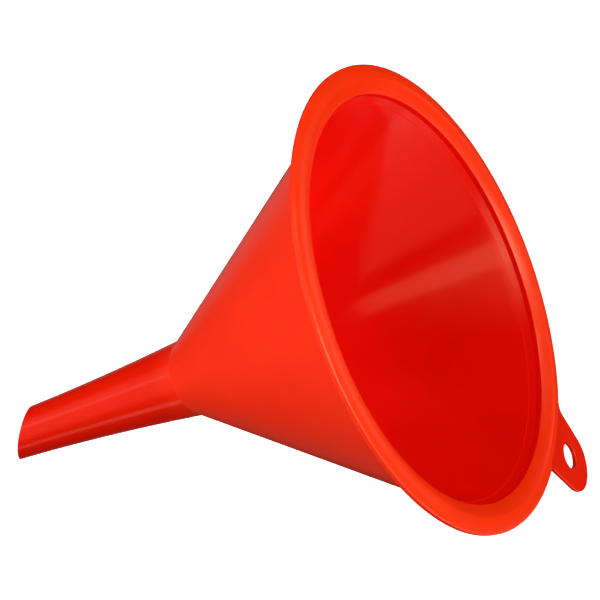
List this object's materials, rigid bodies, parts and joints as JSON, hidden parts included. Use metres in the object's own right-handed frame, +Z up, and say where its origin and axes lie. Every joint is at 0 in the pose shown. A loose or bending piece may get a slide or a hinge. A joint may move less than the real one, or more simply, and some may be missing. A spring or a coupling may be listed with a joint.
{
  "type": "funnel",
  "caption": "Wide moulded plastic funnel for pouring fuel and other fluids: flanged rim, conical bowl, tapered spout with a slanted tip, and a hang tab with a hole.",
  "frame": {"origin": "centre of the crease where the conical bowl meets the spout, on the funnel's axis, where the funnel sits in a filler neck", "axes": "+Z up along the funnel's axis, out of the mouth; the spout points to -Z; +X towards the hang tab, which is also the side of the long point of the slanted tip"},
  "size_m": [0.1843, 0.16, 0.218],
  "materials": {
    "funnel_plastic": "gloss"
  },
  "bodies": {
    "root": {"rim_flange": "funnel_plastic", "rim_collar": "funnel_plastic", "bowl_cone": "funnel_plastic", "spout": "funnel_plastic", "hang_tab": "funnel_plastic"}
  },
  "joints": []
}
